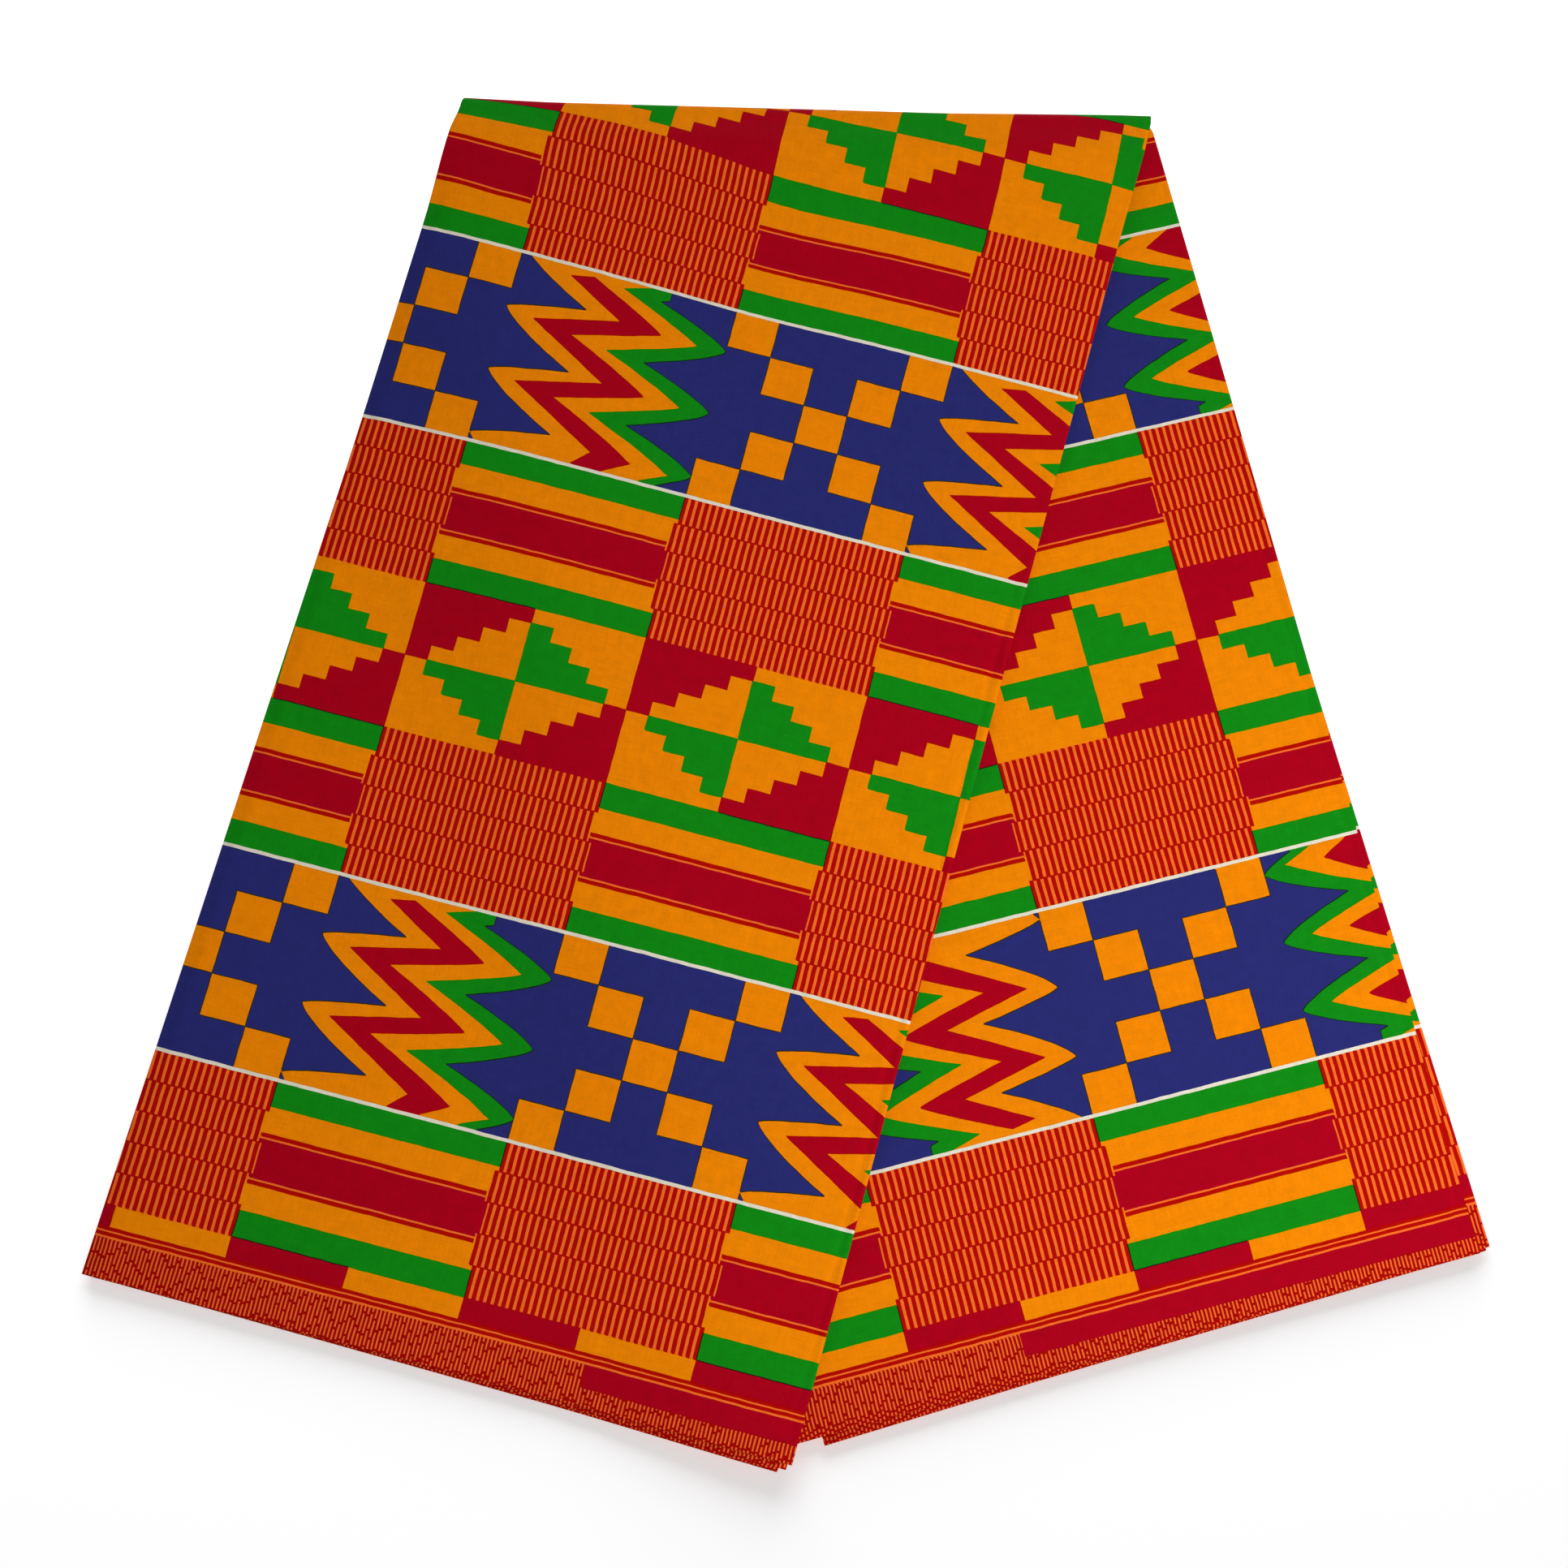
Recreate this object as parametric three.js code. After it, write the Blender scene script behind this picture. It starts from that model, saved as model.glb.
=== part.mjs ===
// Folded length of printed cotton, millimetres, +Z up.
// The cloth is folded back and forth into a long flat strip, its selvedges at the strip's two ends.
// The strip is then folded once over itself, aslant, so that it lies as a front leg on a back leg.
// The solid is one continuous sheet: every fold is a turn of the same body.
import * as THREE from 'three';

// Strip: the panels of the back-and-forth fold
const PANEL_WIDTH = 302;
const LAYER_COUNT = 4;
const LAYER_THICKNESS = 1.1;
const LAYER_GAP = 0.4;

// Cross fold: the strip bends over a level line, and its legs splay to both sides of it
const LEG_ANGLE = THREE.MathUtils.degToRad(14.9);
const FOLD_TILT = THREE.MathUtils.degToRad(-0.6);
const LEG_GAP = 1.0;
const FRONT_LENGTH = 580;
const BACK_LENGTH = 574;

// Droop: just past the back leg's left edge the front leg starts to sink, and within this run
// it reaches the surface
const DROOP_START = 8;
const DROOP_RUN = 60;

// Edges of the layers, from the panel on the outside of the cross fold to the one inside it.
// The first and last rows are the cloth's cut ends, the others the turns between two layers.
// side: -1 left, 1 right. Front, fold, back: how far the edge lies past the panel's half width
// at the front selvedge, at the cross fold and at the back selvedge.
// frontDrawn, backDrawn: how far the selvedge is drawn in there at the two ends of the strip.
const EDGES = [
  { side: 1, front: 0.0, fold: 0.0, back: -4.0, frontDrawn: 3.0, backDrawn: 8.0 },
  { side: -1, front: 0.0, fold: 0.0, back: -1.5, frontDrawn: 0.5, backDrawn: 4.0 },
  { side: 1, front: -0.5, fold: 0.5, back: 3.0, frontDrawn: 2.5, backDrawn: 3.5 },
  { side: -1, front: -1.5, fold: 0.0, back: 0.5, frontDrawn: 0.0, backDrawn: 0.0 },
  { side: 1, front: -6.0, fold: 0.5, back: 1.0, frontDrawn: 0.0, backDrawn: 0.5 },
];

// Fineness: lines along the strip, steps of a turn, and rows across it in each stretch
const STRIP_LINES = [-141, -106, -71, -35, 0, 35, 71, 106, 141];
const TURN_STEPS = 4;
const FRONT_ROWS = 18;
const BEND_ROWS = 10;
const BACK_ROWS = 8;
const END_ROW_DEPTH = 20;

const LAYER_PITCH = LAYER_THICKNESS + LAYER_GAP;
const LEG_THICKNESS = LAYER_COUNT * LAYER_PITCH - LAYER_GAP;
const BEND_CENTRE = LEG_THICKNESS + LEG_GAP / 2;

// Radius of a layer's middle about the cross fold's axis, the outside layer first
function layerRadius(layer) {
  return BEND_CENTRE - LAYER_THICKNESS / 2 - layer * LAYER_PITCH;
}

// Stations of the sheet's middle line through all layers and turns, with the normal there.
// A station on a layer has a fixed place across the strip, or lies on one of the layer's edges.
function middleLine() {
  const stations = [];
  for (let layer = 0; layer < LAYER_COUNT; layer += 1) {
    const travel = layer % 2 === 0 ? -1 : 1;
    const height = layerRadius(layer);
    const normal = [0, travel];
    stations.push({ edge: layer, outset: 0, height, normal });
    for (const line of STRIP_LINES) {
      stations.push({ across: travel * line, height, normal });
    }
    stations.push({ edge: layer + 1, outset: 0, height, normal });
    if (layer < LAYER_COUNT - 1) stations.push(...turn(layer + 1, travel, height));
  }
  return stations;
}

// Half round from one layer down to the next, at the given edge
function turn(edge, side, height) {
  const stations = [];
  const radius = LAYER_PITCH / 2;
  for (let step = 1; step < TURN_STEPS; step += 1) {
    const angle = (Math.PI * step) / TURN_STEPS;
    const outward = [side * Math.sin(angle), Math.cos(angle)];
    stations.push({
      edge,
      outset: radius * outward[0],
      height: height - radius + radius * outward[1],
      normal: [side * outward[0], side * outward[1]],
    });
  }
  return stations;
}

// Closed outline of the section: one face of the sheet forwards, the other face back
function sectionOutline() {
  const offset = (station, sign) => ({
    ...station,
    outset: (station.outset ?? 0) + (sign * station.normal[0] * LAYER_THICKNESS) / 2,
    height: station.height + (sign * station.normal[1] * LAYER_THICKNESS) / 2,
  });
  const line = middleLine();
  const upper = line.map((station) => offset(station, 1));
  const lower = line.map((station) => offset(station, -1)).reverse();
  return [...upper, ...lower];
}

// Place across the strip, at a share of the way from the cross fold to a leg's selvedge
function acrossStrip(point, leg, share) {
  if (point.edge === undefined) return point.across;
  const edge = EDGES[point.edge];
  const past = THREE.MathUtils.lerp(edge.fold, edge[leg], share);
  return edge.side * (PANEL_WIDTH / 2 + past) + point.outset;
}

// How far the selvedge is drawn in at this point of the outline
function drawnIn(point, column) {
  if (point.edge !== undefined) return EDGES[point.edge][column];
  const layer = Math.round((layerRadius(0) - point.height) / LAYER_PITCH);
  const ends = [EDGES[layer], EDGES[layer + 1]];
  const left = ends.find((edge) => edge.side < 0);
  const right = ends.find((edge) => edge.side > 0);
  const share = 0.5 + point.across / PANEL_WIDTH;
  return THREE.MathUtils.lerp(left[column], right[column], share);
}

// How far the front leg has sunk at a place beside the back leg's left edge
function droop(x, y) {
  const edgeAtFold = -(PANEL_WIDTH / 2) / Math.cos(LEG_ANGLE);
  const outside = (edgeAtFold - x) * Math.cos(LEG_ANGLE) - y * Math.sin(LEG_ANGLE);
  const share = THREE.MathUtils.smoothstep(outside, DROOP_START, DROOP_START + DROOP_RUN);
  return (LEG_THICKNESS + LEG_GAP) * share;
}

// Place of the strip's point (across, along) once the strip is turned by the leg's angle.
// Along is counted from the cross fold's centre, and y is 0 where the bend begins.
function turned(across, along) {
  const x = across * Math.cos(LEG_ANGLE) + along * Math.sin(LEG_ANGLE);
  const y = along * Math.cos(LEG_ANGLE) - across * Math.sin(LEG_ANGLE);
  return [x, y];
}

function frontRow(outline, share) {
  return outline.map((point) => {
    const across = acrossStrip(point, 'front', 1 - share);
    const atFold = across * Math.tan(LEG_ANGLE);
    let along = THREE.MathUtils.lerp(-FRONT_LENGTH, atFold, share);
    if (share === 0) along += drawnIn(point, 'frontDrawn');
    const [x, y] = turned(across, along);
    return new THREE.Vector3(x, y, BEND_CENTRE + point.height - droop(x, y));
  });
}

function bendRow(outline, angle) {
  return outline.map((point) => {
    const across = acrossStrip(point, 'front', 0);
    const travelled = point.height * angle;
    const x = across / Math.cos(LEG_ANGLE) + travelled * Math.tan(LEG_ANGLE);
    const y = point.height * Math.sin(angle);
    return new THREE.Vector3(x, y, BEND_CENTRE + point.height * Math.cos(angle));
  });
}

function backRow(outline, share) {
  return outline.map((point) => {
    const across = acrossStrip(point, 'back', share);
    const bend = point.height * Math.PI;
    const atFold = across * Math.tan(LEG_ANGLE) + bend / Math.cos(LEG_ANGLE);
    let along = THREE.MathUtils.lerp(atFold, BACK_LENGTH, share);
    if (share === 1) along -= drawnIn(point, 'backDrawn');
    const [x, y] = turned(across, along);
    return new THREE.Vector3(x, bend - y, BEND_CENTRE - point.height);
  });
}

// Rows of the whole strip, from the front selvedge over the cross fold to the back selvedge
function stripRows(outline) {
  const rows = [];
  const frontEnd = END_ROW_DEPTH / FRONT_LENGTH;
  const backEnd = 1 - END_ROW_DEPTH / BACK_LENGTH;
  rows.push(frontRow(outline, 0));
  for (let row = 0; row <= FRONT_ROWS; row += 1) {
    rows.push(frontRow(outline, THREE.MathUtils.lerp(frontEnd, 1, row / FRONT_ROWS)));
  }
  for (let row = 1; row <= BEND_ROWS; row += 1) {
    rows.push(bendRow(outline, (Math.PI * row) / BEND_ROWS));
  }
  for (let row = 1; row <= BACK_ROWS; row += 1) {
    rows.push(backRow(outline, (backEnd * row) / BACK_ROWS));
  }
  rows.push(backRow(outline, 1));
  return rows;
}

// Skin between the rows. Every quad is split along the same slant, whichever way its layer
// travels, so that the faces of neighbouring layers stay parallel.
function skin(rows, outline) {
  const count = outline.length;
  const rightwards = outline.map((point, i) => {
    const next = outline[(i + 1) % count];
    return acrossStrip(next, 'front', 0) > acrossStrip(point, 'front', 0);
  });
  const triangles = [];
  for (let row = 0; row < rows.length - 1; row += 1) {
    for (let i = 0; i < count; i += 1) {
      const next = (i + 1) % count;
      const [a, b] = [row * count + i, row * count + next];
      const [c, d] = [a + count, b + count];
      if (rightwards[i]) triangles.push(a, b, d, a, d, c);
      else triangles.push(a, b, c, b, d, c);
    }
  }
  return triangles;
}

// Selvedge face: a ladder between the two faces of the sheet
function endFace(count, first, reversed) {
  const triangles = [];
  for (let i = 0; i < count / 2 - 1; i += 1) {
    const [a, b] = [first + i, first + i + 1];
    const [c, d] = [first + count - 1 - i, first + count - 2 - i];
    if (reversed) triangles.push(a, b, c, b, d, c);
    else triangles.push(a, c, b, b, c, d);
  }
  return triangles;
}

function clothGeometry() {
  const outline = sectionOutline();
  const rows = stripRows(outline);
  const count = outline.length;
  const lastRow = (rows.length - 1) * count;
  const index = [
    ...skin(rows, outline),
    ...endFace(count, 0, false),
    ...endFace(count, lastRow, true),
  ];
  const geometry = new THREE.BufferGeometry().setFromPoints(rows.flat());
  geometry.setIndex(index);
  geometry.rotateZ(FOLD_TILT);
  geometry.computeBoundingBox();
  const middle = geometry.boundingBox.getCenter(new THREE.Vector3());
  geometry.translate(-middle.x, -middle.y, -geometry.boundingBox.min.z);
  geometry.computeVertexNormals();
  return geometry;
}

const printedCotton = new THREE.MeshStandardMaterial({
  color: 0xc8641e,
  roughness: 0.85,
  metalness: 0,
});

const cloth = new THREE.Mesh(clothGeometry(), printedCotton);
cloth.name = 'folded_cloth';

const part = new THREE.Group();
part.add(cloth);

export default part;
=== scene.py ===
import bpy
import math
from mathutils import Matrix


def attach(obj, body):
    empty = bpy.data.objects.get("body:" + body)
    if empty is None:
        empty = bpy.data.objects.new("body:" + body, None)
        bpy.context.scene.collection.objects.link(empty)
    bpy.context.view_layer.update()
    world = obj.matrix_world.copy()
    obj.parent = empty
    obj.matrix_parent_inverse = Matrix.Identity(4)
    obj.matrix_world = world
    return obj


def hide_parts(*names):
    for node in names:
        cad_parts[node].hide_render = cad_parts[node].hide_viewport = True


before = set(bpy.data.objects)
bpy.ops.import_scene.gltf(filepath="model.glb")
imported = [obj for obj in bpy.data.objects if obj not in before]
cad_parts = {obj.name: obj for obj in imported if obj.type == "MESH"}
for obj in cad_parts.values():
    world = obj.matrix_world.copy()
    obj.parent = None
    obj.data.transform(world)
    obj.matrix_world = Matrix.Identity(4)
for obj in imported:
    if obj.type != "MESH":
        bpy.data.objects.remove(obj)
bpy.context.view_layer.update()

bpy.ops.object.select_all(action="DESELECT")


# The folded cloth: six yards of printed cotton, 1.16 m wide between its selvedges, folded back
# and forth into 18 panels, and the long strip that this makes folded once over itself, aslant.
# The sheet is woven in one piece and nothing but its own folds holds it.
PANEL = 0.302          # width of a panel
PANELS = 18
SHEET = 0.00024        # thickness of the cotton
LEG_TOP = 0.0061       # the stack's outside, from the axis of the cross fold
PITCH = 0.0056 / PANELS
LEG_ANGLE = math.radians(14.9)
FOLD_TILT = math.radians(-0.6)
FOLD_CENTRE = (0.005058, 0.294973)
FRONT_END = 0.5795     # from the cross fold to the front selvedge
BACK_END = 0.5733
DROOP = (0.0066, 0.008, 0.098)   # depth, and where it starts and ends past the back leg's edge

# The cross fold isn't pressed: the front leg swells before it, by PUFF at most and by PUFF_END
# where the bend starts. FOLD_LINE: where that is, (x, y) from its left end to its right end.
PUFF, PUFF_END = 0.0060, 0.0012
FOLD_LINE = [(-0.16, -0.0034), (-0.12, -0.0042), (0.0, -0.0033), (0.06, -0.0030), (0.14, -0.0010)]

# The uppermost panel of each leg is loose and lies this much higher, and the uppermost panels of
# the front leg are rounded down at the strip's left edge.
FRONT_LOFT, BACK_LOFT = 0.00055, 0.00045
ROUNDING, ROUNDED_PANELS = 0.00040, 6

# Edges of the panels, in millimetres, counted from the cut end on the outside of the cross fold.
# front, fold, back: how far the edge lies past the panel's half width, at the front selvedge, at
# the cross fold and at the back selvedge. front_end, back_end: how far the selvedge is drawn in.
EDGES = {
    0: dict(front=1.4, fold=0.6, back=-4.0, front_end=4.3, back_end=12.0),
    1: dict(front=0.6, fold=1.8, back=-1.5, front_end=-1.0, back_end=9.0),
    2: dict(front=-0.7, fold=-0.6, back=-3.0, front_end=1.8, back_end=11.0),
    3: dict(front=-0.3, fold=-0.4, back=-1.0, front_end=-0.8, back_end=8.0),
    4: dict(front=-4.0, fold=-0.8, back=-2.0, front_end=0.3, back_end=10.0),
    9: dict(front=-1.2, fold=-0.6, back=-0.8, front_end=0.2, back_end=6.5),
    13: dict(front=-1.0, fold=-0.5, back=-1.0, front_end=0.6, back_end=5.4),
    14: dict(front=-4.4, fold=-3.2, back=3.2, front_end=0.0, back_end=3.4),
    15: dict(front=-1.0, fold=-0.5, back=-11.6, front_end=0.4, back_end=-2.6),
    16: dict(front=-3.6, fold=-4.0, back=5.4, front_end=-0.3, back_end=6.6),
    17: dict(front=-0.8, fold=-0.3, back=0.2, front_end=0.6, back_end=3.1),
    18: dict(front=-3.8, fold=0.8, back=0.8, front_end=0.2, back_end=6.1),
}


def edge_value(edge, column):
    """A column of the table at any edge, in metres: read between its neighbours on the same side,
    and a little unruly there."""
    rows = [e for e in EDGES if (e - edge) % 2 == 0]
    below = max((e for e in rows if e <= edge), default=rows[0])
    above = min((e for e in rows if e >= edge), default=rows[-1])
    share = 0 if above == below else (edge - below) / (above - below)
    value = EDGES[below][column] * (1 - share) + EDGES[above][column] * share
    unruly = 0.45 * math.sin(edge * 2.4 + len(column)) if 0 < share < 1 else 0
    return (value + unruly) * 0.001


def smooth(value, start, end):
    """0 up to the start and 1 from the end, with an even swing between."""
    x = min(1, max(0, (value - start) / (end - start)))
    return x * x * (3 - 2 * x)


MIDDLE_EDGE = 12       # the edge that goes the middle way round the cross fold


def edge_across(edge, leg, share, turned):
    """Place of a panel's edge across the strip; share is 0 at the cross fold, 1 at the selvedge.
    turned is 0 before the cross fold and 1 past it: the outer panels go a longer way round it and
    the inner ones a shorter, and are drawn aside, so that the stack's edges lie together again."""
    side = 1 if edge % 2 == 0 else -1
    past = edge_value(edge, "fold") * (1 - share) + edge_value(edge, leg) * share
    longer_way = math.pi * PITCH * (MIDDLE_EDGE - edge)
    return side * (PANEL / 2 + past) - turned * (1 - share) * longer_way * math.sin(LEG_ANGLE)


# Soft creases of the two outer panels, listed one by one: from and to (across, along), half width
# and height in millimetres. A ridge is positive and a trough negative.
FRONT_CREASES = [
    dict(start=(148.6, -575), end=(146.4, -150), width=1.5, height=-0.5),
    dict(start=(151.5, -575), end=(149.8, -150), width=1.4, height=0.25),
    dict(start=(-60, -570), end=(-20, -30), width=26.0, height=0.35),
    dict(start=(60, -560), end=(95, -60), width=22.0, height=-0.2),
    dict(start=(-120, -300), end=(20, -420), width=14.0, height=0.25),
]
BACK_CREASES = [
    dict(start=(147.6, 120), end=(148.2, 570), width=1.6, height=-0.45),
    dict(start=(20, 200), end=(8, 565), width=9.0, height=0.45),
    dict(start=(80, 130), end=(70, 540), width=24.0, height=-0.2),
    dict(start=(0, 420), end=(140, 455), width=16.0, height=0.2),
]


def crease_height(creases, across, along):
    """Height of all creases at a place: each is bell-shaped across, and fades at its ends."""
    total = 0
    for c in creases:
        (s0, t0), (s1, t1) = c["start"], c["end"]
        ds, dt = s1 - s0, t1 - t0
        length = math.hypot(ds, dt)
        s, t = across * 1000 - s0, along * 1000 - t0
        run = (s * ds + t * dt) / length
        off = (s * dt - t * ds) / length
        fade = smooth(run, -0.06 * length, 0.2 * length)
        fade *= smooth(length - run, -0.06 * length, 0.2 * length)
        total += c["height"] * fade * math.exp(-((off / c["width"]) ** 2))
    return total * 0.001


def lift(panel, across, along):
    """How far a panel stands off its even place in the stack, away from the fold's axis."""
    from_fold = along - across * math.tan(LEG_ANGLE)
    if panel == PANELS - 1:
        loft = BACK_LOFT * smooth(from_fold, 0.03, 0.12)
        return -loft - crease_height(BACK_CREASES, across, along)
    if panel >= ROUNDED_PANELS:
        return 0
    out = smooth(-from_fold, 0.0, 0.06)
    rounding = ROUNDING * (1 - panel / ROUNDED_PANELS) * smooth(-across, 0.1445, 0.1515) * out
    if panel > 0:
        return -rounding
    loft = FRONT_LOFT * smooth(-from_fold, 0.0, 0.07) * (1 - smooth(-across, 0.1455, 0.1515))
    return loft - rounding + crease_height(FRONT_CREASES, across, along) * out


def fold_line(x):
    """How far behind the cross fold's centre line its bend starts."""
    for (x0, y0), (x1, y1) in zip(FOLD_LINE, FOLD_LINE[1:]):
        if x < x1 or x1 == FOLD_LINE[-1][0]:
            return y0 + (y1 - y0) * min(1, max(0, (x - x0) / (x1 - x0)))


def puff(x, y):
    """How far the front leg swells at a distance before the bend."""
    before = fold_line(x) - y
    rise = PUFF_END + (PUFF - PUFF_END) * smooth(before, 0.0, 0.014)
    return rise * (1 - smooth(before, 0.016, 0.055))


def droop(x, y):
    """How far the front leg has sunk beside the back leg."""
    depth, start, end = DROOP
    edge = -(PANEL / 2) / math.cos(LEG_ANGLE)
    outside = (edge - x) * math.cos(LEG_ANGLE) - y * math.sin(LEG_ANGLE)
    return depth * smooth(outside, start, end)


def place(zone, across, along, height, radius):
    """Where the strip's point (across, along) at a height from the fold's axis comes to lie.
    radius: its panel's even distance from the axis, which sets its way round the fold."""
    cos, sin, tan = math.cos(LEG_ANGLE), math.sin(LEG_ANGLE), math.tan(LEG_ANGLE)
    x, y = across * cos + along * sin, along * cos - across * sin
    if zone == "front":
        z = LEG_TOP + height - droop(x, y) + puff(x, y)
    elif zone == "back":
        y, z = math.pi * radius - y, LEG_TOP - height
    else:
        angle = zone
        start = fold_line(across / cos)
        x = across / cos + (start + (math.pi * radius - 2 * start) * angle / math.pi) * tan
        reach = height + PUFF_END / 2
        y, z = start + reach * math.sin(angle), LEG_TOP + PUFF_END / 2 + reach * math.cos(angle)
    cos, sin = math.cos(FOLD_TILT), math.sin(FOLD_TILT)
    return (FOLD_CENTRE[0] + x * cos - y * sin, FOLD_CENTRE[1] + x * sin + y * cos, z)


# The sheet's middle line through all panels and turns. A station lies on a panel at a share of
# the way between its two edges, or on the turn between two panels at an angle.
OUTER_COLUMNS = [i / 240 for i in range(11)] + [0.0417 + i * 0.9166 / 36 for i in range(1, 36)]
OUTER_COLUMNS += [1 - i / 240 for i in range(10, -1, -1)]
INNER_COLUMNS = [i / 15 for i in range(16)]
stations = []
for panel in range(PANELS):
    for share in OUTER_COLUMNS if panel in (0, PANELS - 1) else INNER_COLUMNS:
        stations.append(dict(panel=panel, share=share))
    if panel < PANELS - 1:
        for step in (1, 2, 3):
            stations.append(dict(panel=panel, turn=math.pi * step / 4))

# Rows along the strip: from the front selvedge up the leg, round the cross fold, down the leg.
# A row close beside each selvedge keeps its edge crisp.
FRONT_ROWS, BEND_ROWS, BACK_ROWS = 46, 12, 38
rows = [("front", 0.0), ("front", 0.0008)]
for row in range(1, FRONT_ROWS):
    rows.append(("front", 1 - (1 - row / FRONT_ROWS) ** 1.35))
for row in range(BEND_ROWS + 1):
    rows.append((math.pi * row / BEND_ROWS, 0))
for row in range(1, BACK_ROWS):
    rows.append(("back", row / BACK_ROWS))
rows += [("back", 0.9992), ("back", 1.0)]


def along_at(zone, share, across, edge_share, panel, radius):
    """Distance along the panel from the fold's centre, measured on the cloth."""
    tan, cos = math.tan(LEG_ANGLE), math.cos(LEG_ANGLE)
    columns = ("front_end", "back_end")
    drawn = [
        edge_value(panel, c) * (1 - edge_share) + edge_value(panel + 1, c) * edge_share
        for c in columns
    ]
    ends = (-FRONT_END + drawn[0], BACK_END - drawn[1])
    start = across * tan + fold_line(across / cos) / cos
    back_start = across * tan + (math.pi * radius - fold_line(across / cos)) / cos
    if zone == "front":
        here = ends[0] * (1 - share) + start * share
    elif zone == "back":
        here = back_start * (1 - share) + ends[1] * share
    else:
        here = start + (back_start - start) * zone / math.pi
    return here, ends


# Print coordinates on the cloth, in metres: P along its length, from a block's edge, and Q across
# its width, from the front selvedge. The print lies a degree askew on the first panel and
# straight on the last, and the inner panels take up the blocks between.
CLOTH_WIDTH = 1.162
PRINT_TURN, TURN_CENTRE = 0.02, -0.390
NEAR_FOLD_SHIFT = 0.0016   # shift of the first panel's print near the cross fold
INNER_PRINT = 0.29965      # print that an inner panel takes up
LAST_BLOCK, LAST_STRETCH = -5.0946, 0.988
FRONT_PRINT, BACK_PRINT = 0.5797, 0.5884

# The cloth is pulled a little out of true near the cross fold. Each pull: the place (across,
# along) and the reach about it both ways, and the shift of the print along the strip there.
PULLS = [
    dict(across=0.000, along=-0.055, reach=(0.045, 0.050), shift=0.0032),
    dict(across=-0.090, along=-0.032, reach=(0.045, 0.016), shift=-0.0029),
    dict(across=0.145, along=0.005, reach=(0.030, 0.025), shift=-0.0019),
]


def pull(across, along):
    """Shift of the print along the strip by all pulls."""
    total = 0
    for p in PULLS:
        s = (across - p["across"]) / p["reach"][0]
        t = (along - p["along"]) / p["reach"][1]
        total += p["shift"] * math.exp(-s * s - t * t)
    return total


def print_place(panel, share, across, along, ends):
    """Print coordinates at a place. Where a panel is hidden, its print is eased to end at the
    cloth's selvedge."""
    askew = 1 - (panel + share) / PANELS if panel else 1
    turn = PRINT_TURN * askew * (along - TURN_CENTRE)
    if panel == 0:
        near_fold = 1 - smooth(across * math.tan(LEG_ANGLE) - along, 0.0, 0.05)
        p = across + turn + NEAR_FOLD_SHIFT * near_fold
    elif panel == PANELS - 1:
        p = LAST_BLOCK - LAST_STRETCH * across
    else:
        p = -PANEL / 2 - INNER_PRINT * (panel - 1 + share) + turn
    offset = FRONT_PRINT + (BACK_PRINT - FRONT_PRINT) * panel / (PANELS - 1)
    if panel == 0:
        offset -= PRINT_TURN * across - pull(across, along)
    upper = (panel == 0 and along < 0) or (panel == PANELS - 1 and along > 0)
    if upper:
        return p, along + offset
    end = ends[0] if along < 0 else ends[1]
    target = 0.002 if along < 0 else CLOTH_WIDTH - 0.004
    return p, along + offset + (target - end - offset) * (along / end) ** 3


def sheet_row(zone, share):
    """Both faces of the sheet along one row: places and print coordinates of every station."""
    leg = "back" if zone == "back" else "front"
    out = share if zone == "back" else 1 - share if zone == "front" else 0
    turned = 0 if zone == "front" else 1 if zone == "back" else zone / math.pi
    edges = [edge_across(e, leg, out, turned) for e in range(PANELS + 1)]
    radius = [LEG_TOP - PITCH * (n + 0.5) for n in range(PANELS)]
    faces = ([], [])
    prints = []
    for station in stations:
        n = station["panel"]
        if "turn" in station:
            side = 1 if (n + 1) % 2 == 0 else -1
            across = edges[n + 1]
            along, _ = along_at(zone, share, across, 1, n, radius[n])
            top = radius[n] + lift(n, across, along)
            bottom = radius[n + 1] + lift(n + 1, across, along)
            sin, cos = math.sin(station["turn"]), math.cos(station["turn"])
            reach = (top - bottom) / 2
            middle = (across + side * reach * sin, (top + bottom) / 2 + reach * cos)
            base = radius[n] - PITCH * (1 - cos) / 2
            normal = (side * sin, cos) if side < 0 else (-side * sin, -cos)
            p_share = 1
        else:
            p_share, base = station["share"], radius[n]
            across = edges[n] * (1 - p_share) + edges[n + 1] * p_share
            along, _ = along_at(zone, share, across, p_share, n, radius[n])
            middle = (across, radius[n] + lift(n, across, along))
            normal = (0, 1) if n % 2 == 0 else (0, -1)
        along, ends = along_at(zone, share, middle[0], p_share, n, base)
        prints.append(print_place(n, p_share, middle[0], along, ends))
        for face, sign in zip(faces, (1, -1)):
            s = middle[0] + sign * normal[0] * SHEET / 2
            h = middle[1] + sign * normal[1] * SHEET / 2
            here, _ = along_at(zone, share, s, p_share, n, base)
            face.append(place(zone, s, here, h, base))
    return faces, prints


count = len(stations)
points, prints = [], []
for zone, share in rows:
    (upper, lower), row_prints = sheet_row(zone, share)
    points += upper + lower[::-1]
    prints += row_prints + row_prints[::-1]

# Faces round the sheet's section from row to row, and the two selvedges' own faces
ring = 2 * count
faces = []
for row in range(len(rows) - 1):
    for i in range(ring):
        a, b = row * ring + i, row * ring + (i + 1) % ring
        faces.append((a, a + ring, b + ring, b))
for first, turned in ((0, False), ((len(rows) - 1) * ring, True)):
    for i in range(count - 1):
        a, b = first + i, first + i + 1
        c, d = first + ring - 1 - i, first + ring - 2 - i
        faces.append((a, c, d, b) if turned else (a, b, d, c))

mesh = bpy.data.meshes.new("folded_kente_print")
mesh.from_pydata(points, [], faces)
cloth = bpy.data.objects.new("folded_kente_print", mesh)
bpy.context.collection.objects.link(cloth)

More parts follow.
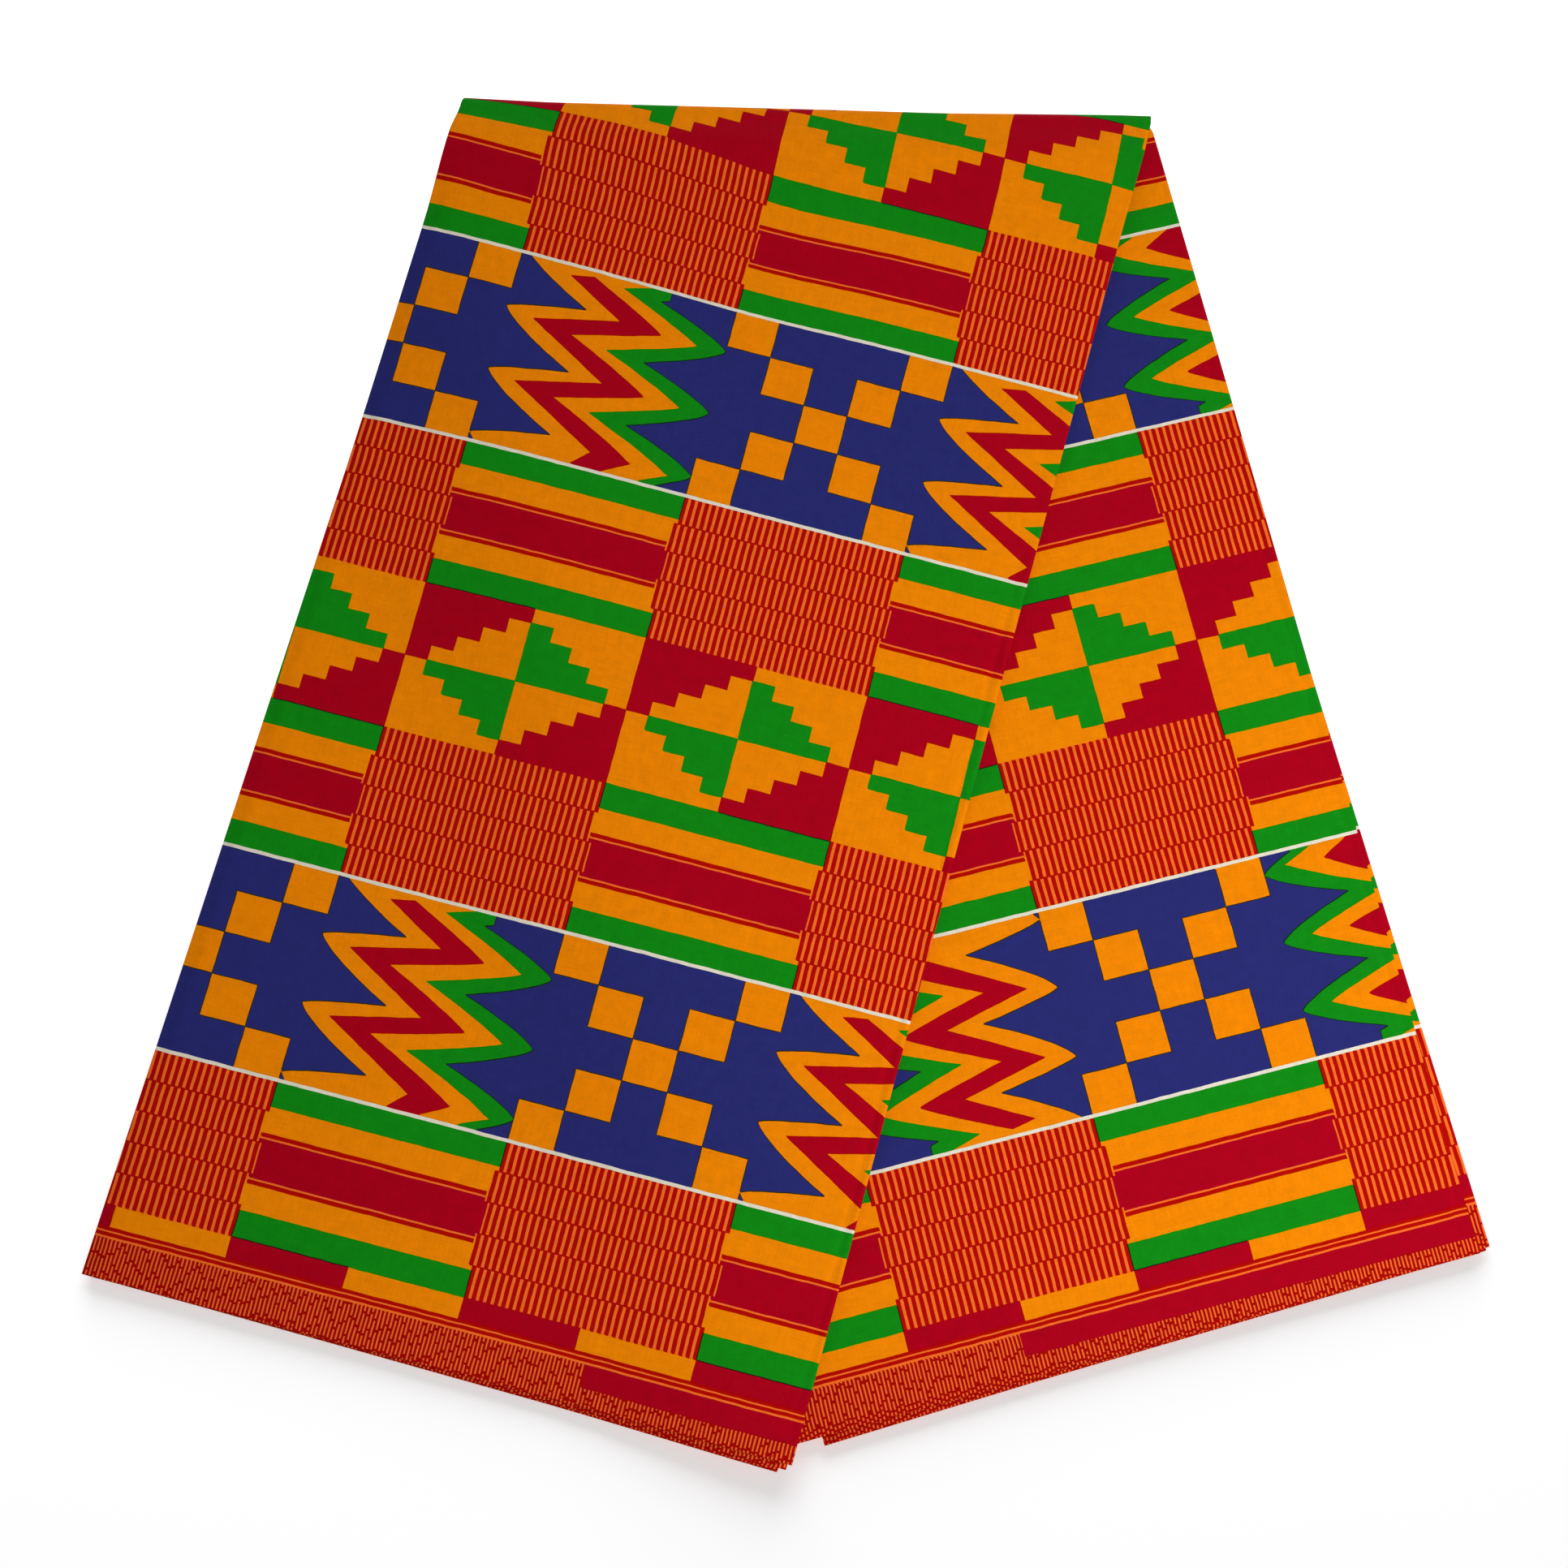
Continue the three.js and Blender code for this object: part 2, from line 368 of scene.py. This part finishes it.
# Map of the print, and a map that shares one sheet out: the two outer faces of the stack take
# nearly all of it, the upper leg of each the most, and the inner panels a narrow band.
print_map = mesh.uv_layers.new(name="Print")
share_map = mesh.uv_layers.new(name="OFBake")
OUTER_WIDTH, UPPER_SHARE = 0.462, 0.68
front_row = FRONT_ROWS + 1 + BEND_ROWS // 2
last_row = len(rows) - 1


def row_share(row, upper_first):
    """Place up the sheet: the leg that is the uppermost takes its larger share."""
    if row <= front_row:
        place_up = row / front_row
        return UPPER_SHARE * place_up if upper_first else 1 - (1 - UPPER_SHARE) * place_up
    place_up = (row - front_row) / (last_row - front_row)
    if upper_first:
        return UPPER_SHARE + (1 - UPPER_SHARE) * place_up
    return UPPER_SHARE * (1 - place_up)


outer_count = len(OUTER_COLUMNS)
for polygon in mesh.polygons:
    corners = [mesh.loops[i].vertex_index for i in polygon.loop_indices]
    around = [c % ring for c in corners]
    row_numbers = [c // ring for c in corners]
    wraps = max(around) - min(around) > ring // 2
    along_ring = [a + ring if wraps and a < ring // 2 else a for a in around]
    middle = sum(along_ring) / len(along_ring)
    first_panel = middle < outer_count - 1
    last_panel = count - outer_count < middle < count - 1
    for loop, a, row in zip(polygon.loop_indices, along_ring, row_numbers):
        print_map.data[loop].uv = prints[row * ring + a % ring]
        if first_panel:
            u = 0.002 + OUTER_WIDTH * OUTER_COLUMNS[min(a, outer_count - 1)]
            share_map.data[loop].uv = (u, 0.003 + 0.994 * row_share(row, True))
        elif last_panel:
            u = 0.47 + OUTER_WIDTH * OUTER_COLUMNS[min(a - (count - outer_count), outer_count - 1)]
            share_map.data[loop].uv = (u, 0.003 + 0.994 * row_share(row, False))
        else:
            u = 0.938 + 0.06 * a / ring
            share_map.data[loop].uv = (u, 0.003 + 0.994 * row / last_row)

bpy.context.view_layer.objects.active = cloth
cloth.select_set(True)
bpy.ops.object.shade_smooth()
cloth.select_set(False)

# The print: wax-resist dyes on white cotton, the same on both faces. Blocks of bands stand side
# by side between thin ivory lines, 0.1 m a block and 0.29 m a repeat.
tree = bpy.data.node_groups.new("kente_print", "ShaderNodeTree")


def dye(red, green, blue):
    levels = [c / 255 for c in (red, green, blue)]
    return [c / 12.92 if c < 0.04045 else ((c + 0.055) / 1.055) ** 2.4 for c in levels] + [1]


YELLOW, CRIMSON = dye(248, 138, 1), dye(175, 0, 27)
RED, ORANGE = dye(182, 8, 0), dye(250, 112, 38)
GREEN, BLUE = dye(16, 140, 20), dye(42, 45, 116)
IVORY = dye(235, 228, 208)


def feed(socket, value):
    if isinstance(value, bpy.types.NodeSocket):
        tree.links.new(value, socket)
    else:
        socket.default_value = value


def sum_of(operation, *values):
    step = tree.nodes.new("ShaderNodeMath")
    step.operation = operation
    for socket, value in zip(step.inputs, values):
        feed(socket, value)
    return step.outputs[0]


def plus(a, b):
    return sum_of("ADD", a, b)


def minus(a, b):
    return sum_of("SUBTRACT", a, b)


def times(a, b):
    return sum_of("MULTIPLY", a, b)


def over(a, b):
    return sum_of("GREATER_THAN", a, b)


def under(a, b):
    return sum_of("LESS_THAN", a, b)


def either(a, b):
    return sum_of("MAXIMUM", a, b)


def lesser(a, b):
    return sum_of("MINIMUM", a, b)


def whole(a):
    return sum_of("FLOOR", a)


def rest(a):
    return sum_of("FRACT", a)


def size(a):
    return sum_of("ABSOLUTE", a)


def blend_of(kind, first, second, where=1.0):
    mix = tree.nodes.new("ShaderNodeMix")
    mix.data_type = "RGBA"
    mix.blend_type = kind
    feed(mix.inputs["Factor"], where)
    feed(mix.inputs[6], first)
    feed(mix.inputs[7], second)
    return mix.outputs[2]


def print_over(ground, colour, where):
    return blend_of("MIX", ground, colour, where)


def bands(value, *steps):
    """Flat bands of colour: each (start, colour) holds up to the next start."""
    ramp = tree.nodes.new("ShaderNodeValToRGB")
    ramp.color_ramp.interpolation = "CONSTANT"
    points = ramp.color_ramp.elements
    while len(points) < len(steps):
        points.new(1)
    for point, (start, colour) in zip(points, steps):
        point.position = start
        point.color = colour
    feed(ramp.inputs[0], value)
    return ramp.outputs[0]


BLOCK = 0.1
REPEAT, BAND, ROW = 0.290, 0.09066, 0.06645
FIRST_LINE = 0.0989    # first ivory line from the front selvedge
BORDER = 0.0234        # a selvedge's border
BACK_SELVEDGE = 1.158
REMNANT = 0.0325       # where the last whole row ends before a selvedge

for name in ("P", "Q"):
    tree.interface.new_socket(name=name, in_out="INPUT", socket_type="NodeSocketFloat")
tree.interface.new_socket(name="Print", in_out="OUTPUT", socket_type="NodeSocketColor")
place_on_cloth = tree.nodes.new("NodeGroupInput")
P, Q = place_on_cloth.outputs[0], place_on_cloth.outputs[1]

repeat = rest(times(minus(Q, FIRST_LINE), 1 / REPEAT))
R = times(repeat, REPEAT)
band_v = times(R, 1 / BAND)
row_place = times(minus(R, BAND), 1 / ROW)
v = rest(row_place)
row_number = whole(row_place)                   # 0, 1, 2 above the band, negative in it
from_end = lesser(Q, minus(BACK_SELVEDGE, Q))

block = times(P, 1 / BLOCK)
u = rest(block)
odd = over(rest(times(block, 0.5)), 0.5)        # 1 in the zigzag's columns

# Hatched block: five courses of 32 short red bars, each course set half a bar off the next
BARS = 31.47
courses = times(v, 5)
half_bar = times(rest(times(whole(courses), 0.5)), 1 / BARS)
hatch_block = plus(block, half_bar)
hatch_odd = over(rest(times(hatch_block, 0.5)), 0.5)
joint = times(over(size(minus(rest(courses), 0.5)), 0.489), under(size(minus(v, 0.5)), 0.45))
bars = under(rest(times(rest(hatch_block), BARS)), 0.47)
hatch = print_over(ORANGE, RED, either(bars, joint))

# Striped block: green, yellow, thin red and orange lines, and crimson in the middle
from_middle = times(size(minus(v, 0.5)), 2)
stripe_end = over(size(minus(rest(hatch_block), 0.5)), 0.489)
stripes = print_over(
    bands(from_middle, (0, CRIMSON), (0.244, ORANGE), (0.281, RED), (0.324, YELLOW),
          (0.664, GREEN)),
    bands(from_middle, (0, ORANGE), (0.262, YELLOW), (0.664, GREEN)),
    stripe_end,
)

# Diamond block: stepped triangles about the middle, in four quarters
side_u, side_v = times(minus(u, 0.5), 2), times(minus(v, 0.5), 2)
steps = plus(whole(times(size(side_u), 5)), times(size(side_v), 5))
triangle = times(under(steps, 4), over(from_end, REMNANT))
rising = over(times(side_u, side_v), 0)         # upper right and lower left quarters
diamond = print_over(
    print_over(CRIMSON, YELLOW, rising), print_over(YELLOW, GREEN, rising), triangle
)

# Cross block: yellow squares on both diagonals of a blue ground
cell_u, cell_v = whole(times(u, 5)), whole(times(band_v, 5))
one, other = size(minus(cell_u, cell_v)), size(minus(plus(cell_u, cell_v), 4))
cross = print_over(BLUE, YELLOW, under(lesser(one, other), 0.5))

# Zigzag block: five leaning saw-toothed edges. left and right: how far its points reach across
# the block; lag: where the left points come, down the block; fall: the steep side's share of the
# block; round: how full the points are, on the left and on the right; end: how the last point is
# cut off at the block's foot.
ZIGZAG = [
    dict(left=0.00, right=0.35, lag=0.290, fall=0.080, round=(1.35, 1.0), colour=YELLOW),
    dict(left=0.13, right=0.51, lag=0.322, fall=0.098, round=(1.0, 1.0), end=(1.035, 1.474),
         colour=CRIMSON),
    dict(left=0.31, right=0.70, lag=0.352, fall=0.115, round=(1.0, 1.1), end=(0.606, 1.356),
         colour=YELLOW),
    dict(left=0.485, right=0.87, lag=0.385, fall=0.140, round=(1.0, 1.15), end=(0.467, 1.351),
         colour=GREEN),
    dict(left=0.66, right=1.00, lag=0.400, fall=0.165, round=(1.0, 1.35), colour=BLUE),
]
down = minus(1, band_v)
zigzag = BLUE
for saw in ZIGZAG:
    phase = rest(times(minus(down, saw["lag"]), 3))
    run = 1 - 3 * saw["fall"]
    slope = lesser(times(phase, 1 / run), times(minus(1, phase), 1 / (1 - run)))
    slope = sum_of("POWER", slope, saw["round"][0])
    slope = minus(1, sum_of("POWER", minus(1, slope), saw["round"][1]))
    edge = plus(times(slope, saw["right"] - saw["left"]), saw["left"])
    if "end" in saw:
        slant, reach = saw["end"]
        at_foot = over(down, saw["lag"] - saw["fall"] + 2 / 3)
        rise = (saw["right"] - saw["left"]) / run
        longer = plus(times(minus(down, saw["lag"] + 1 / 3), 3 * rise), saw["left"])
        cut_off = lesser(longer, times(minus(reach, down), 1 / slant))
        edge = plus(edge, times(at_foot, minus(cut_off, edge)))
    where = over(u, edge)
    if saw["colour"] == CRIMSON:
        below_head = plus(0.014, times(minus(0.45, u), 0.2))
        where = times(where, over(down, below_head))
    if saw is ZIGZAG[-1]:
        at_head = times(under(down, 0.06), over(u, 0.70))
        where = either(where, at_head)
    zigzag = print_over(zigzag, saw["colour"], where)

# The rows put together, with ivory lines above and below the blue band
row_b = print_over(stripes, hatch, hatch_odd)
row_d = print_over(hatch, stripes, hatch_odd)
pattern = print_over(print_over(cross, zigzag, odd), row_b, over(row_number, -0.5))
pattern = print_over(pattern, diamond, over(row_number, 0.5))
pattern = print_over(pattern, row_d, over(row_number, 1.5))
LINE_HALF = 0.00095
at_line = either(
    over(size(minus(repeat, 0.5)), 0.5 - LINE_HALF / REPEAT),
    under(size(minus(R, BAND)), LINE_HALF),
)
pattern = print_over(pattern, IVORY, at_line)

# Selvedge borders: thin red and orange lines, then a band of broken upright dashes with a bare
# crimson strip along part of it, and short beads along the selvedge
BORDER_LINES = 0.0046
DASH_WIDTH = 0.0017
BEAD, BEADS_END = 0.0022, 0.0036
STRIP_START = 0.0095
FRONT_STRIP, BACK_STRIP = 0.0568, LAST_BLOCK + 0.048   # where the strips start and end along P
column = times(P, 1 / DASH_WIDTH)
stroke = under(size(minus(rest(column), 0.5)), 0.32)
uneven = tree.nodes.new("ShaderNodeTexWhiteNoise")
uneven.noise_dimensions = "1D"
feed(uneven.inputs["W"], whole(column))
length = plus(0.0065, times(rest(times(uneven.outputs["Value"], 7)), 0.0060))
dash = over(rest(plus(sum_of("DIVIDE", from_end, length), uneven.outputs["Value"])), 0.08)
bead = over(rest(plus(times(from_end, 1 / BEAD), uneven.outputs["Value"])), 0.25)
dash = plus(times(dash, over(from_end, BEADS_END)), times(bead, under(from_end, BEADS_END)))
dashes = print_over(dye(168, 6, 0), dye(246, 108, 44), times(stroke, dash))
strip_along = either(
    times(over(P, FRONT_STRIP), under(Q, 0.5)),
    times(under(P, BACK_STRIP), over(Q, 0.5)),
)
strip = times(strip_along, over(from_end, STRIP_START))
border = print_over(
    print_over(dashes, CRIMSON, strip),
    bands(times(minus(from_end, BORDER - BORDER_LINES), 1 / BORDER_LINES),
          (0, ORANGE), (0.28, RED), (0.53, ORANGE), (0.76, RED)),
    over(from_end, BORDER - BORDER_LINES),
)
pattern = print_over(pattern, border, under(from_end, BORDER))
tree.links.new(pattern, tree.nodes.new("NodeGroupOutput").inputs[0])

# The cotton: plain weave, matt, its dyes a little uneven and overlapping along their edges
cotton = bpy.data.materials.new("printed_cotton")
cotton.use_nodes = True
design, tree = tree, cotton.node_tree
shader = tree.nodes["Principled BSDF"]
uv = tree.nodes.new("ShaderNodeUVMap")
uv.uv_map = "Print"


def noise_of(scale_p, scale_q, detail=2.0, rough=0.5):
    """Noise over the print's coordinates, finer one way than the other."""
    stretch = tree.nodes.new("ShaderNodeMapping")
    stretch.inputs["Scale"].default_value = (scale_p, scale_q, 1)
    tree.links.new(uv.outputs[0], stretch.inputs["Vector"])
    noise = tree.nodes.new("ShaderNodeTexNoise")
    noise.noise_dimensions = "2D"
    noise.inputs["Scale"].default_value = 1
    noise.inputs["Detail"].default_value = detail
    noise.inputs["Roughness"].default_value = rough
    tree.links.new(stretch.outputs[0], noise.inputs["Vector"])
    return noise


wander = noise_of(110, 110)
wander_split = tree.nodes.new("ShaderNodeSeparateColor")
tree.links.new(wander.outputs["Color"], wander_split.inputs[0])
split = tree.nodes.new("ShaderNodeSeparateXYZ")
tree.links.new(uv.outputs[0], split.inputs[0])
P = plus(split.outputs[0], times(minus(wander_split.outputs[0], 0.5), 0.0005))
Q = plus(split.outputs[1], times(minus(wander_split.outputs[1], 0.5), 0.0005))


def printed_at(shift_p, shift_q):
    stamp = tree.nodes.new("ShaderNodeGroup")
    stamp.node_tree = design
    feed(stamp.inputs[0], plus(P, shift_p))
    feed(stamp.inputs[1], plus(Q, shift_q))
    return stamp.outputs[0]


OVERLAP = 0.0004
colour = printed_at(0, 0)
for shift_p, shift_q in ((OVERLAP, 0), (0, OVERLAP)):
    colour = blend_of("DARKEN", colour, printed_at(shift_p, shift_q))

# Slubs of both threads and a soft cloudiness lighten and darken the dyes
slubs = plus(noise_of(2600, 90).outputs[0], noise_of(90, 2600).outputs[0])
clouds = noise_of(160, 160, 5.0, 0.75).outputs[0]
shade = plus(plus(times(minus(slubs, 1), 0.2), times(minus(clouds, 0.5), 0.3)), 1)
shade_colour = tree.nodes.new("ShaderNodeCombineColor")
for socket in shade_colour.inputs[:3]:
    feed(socket, shade)
colour = blend_of("MULTIPLY", colour, shade_colour.outputs[0])
tree.links.new(colour, shader.inputs["Base Color"])
feed(shader.inputs["Roughness"], plus(times(clouds, 0.1), 0.74))
shader.inputs["Specular IOR Level"].default_value = 0.03

# The weave's relief: threads 0.4 mm apart, over and under by turns
THREAD = 0.0004
warp = sum_of("SINE", times(split.outputs[0], 2 * math.pi / THREAD))
weft = sum_of("SINE", times(split.outputs[1], 2 * math.pi / THREAD))
relief = plus(times(warp, weft), times(slubs, 1.5))
bump = tree.nodes.new("ShaderNodeBump")
bump.inputs["Strength"].default_value = 0.25
bump.inputs["Distance"].default_value = 0.0001
feed(bump.inputs["Height"], relief)
tree.links.new(bump.outputs[0], shader.inputs["Normal"])
mesh.materials.append(cotton)

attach(cloth, "root")
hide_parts("folded_cloth")


# The floor that the cloth lies on: plain, pale and matt, a little self-lit so that it stays pale.
floor_material = bpy.data.materials.new("pale_floor")
floor_material.use_nodes = True
floor_finish = floor_material.node_tree.nodes["Principled BSDF"]
floor_finish.inputs["Base Color"].default_value = (0.92, 0.92, 0.92, 1)
floor_finish.inputs["Roughness"].default_value = 0.9
floor_finish.inputs["Specular IOR Level"].default_value = 0.1
floor_finish.inputs["Emission Color"].default_value = (1, 1, 1, 1)
floor_finish.inputs["Emission Strength"].default_value = 0.53
bpy.ops.mesh.primitive_plane_add(size=12, location=(0, 0, 0))
floor = bpy.context.object
floor.name = "floor"
floor.data.materials.append(floor_material)


# Studio light: a soft lamp at the right and one far behind the cross fold light the cloth, with the
# room's even light. A broad screen behind lights the floor alone and throws the soft shadow there.
# state: whether the lamp leaves the floor out or lights only the floor.
world = bpy.data.worlds.new("room")
world.use_nodes = True
world.node_tree.nodes["Background"].inputs["Color"].default_value = (1, 1, 1, 1)
world.node_tree.nodes["Background"].inputs["Strength"].default_value = 0.2
bpy.context.scene.world = world
LAMPS = [
    dict(name="right_lamp", place=(0.45, -0.24, 0.75), watts=7.3, width=0.9, state="EXCLUDE"),
    dict(name="back_lamp", place=(0.3, 3.0, 1.2), watts=22.0, width=0.9, state="EXCLUDE"),
    dict(name="floor_screen", place=(0.0, 1.9, 0.95), watts=52.0, width=1.7, state="INCLUDE"),
]
for lamp in LAMPS:
    bpy.ops.object.light_add(type="AREA", location=lamp["place"])
    light = bpy.context.object
    light.name = lamp["name"]
    light.data.energy = lamp["watts"]
    light.data.size = lamp["width"]
    light.rotation_euler = (-light.location).to_track_quat("-Z", "Y").to_euler()
    lit = bpy.data.collections.new(lamp["name"] + "_lights")
    lit.objects.link(floor)
    lit.collection_objects[0].light_linking.link_state = lamp["state"]
    light.light_linking.receiver_collection = lit


# The camera: straight above the cloth, tipped a little towards its cross fold.
PITCH_BACK, SWING, ROLL = -0.158232, 0.042349, -0.003556
CAMERA_PLACE = (-0.04277, -0.154843, 0.87902)
eye = bpy.data.cameras.new("camera")
eye.sensor_width = 36
eye.lens = 36 * 2500 / 1932
camera = bpy.data.objects.new("camera", eye)
bpy.context.collection.objects.link(camera)
to_camera = (
    Matrix.Rotation(ROLL, 3, "Z") @ Matrix.Rotation(PITCH_BACK, 3, "X")
    @ Matrix.Rotation(SWING, 3, "Y")
)
camera.matrix_world = Matrix.Translation(CAMERA_PLACE) @ to_camera.transposed().to_4x4()
bpy.context.scene.camera = camera
bpy.context.scene.view_settings.view_transform = "Standard"
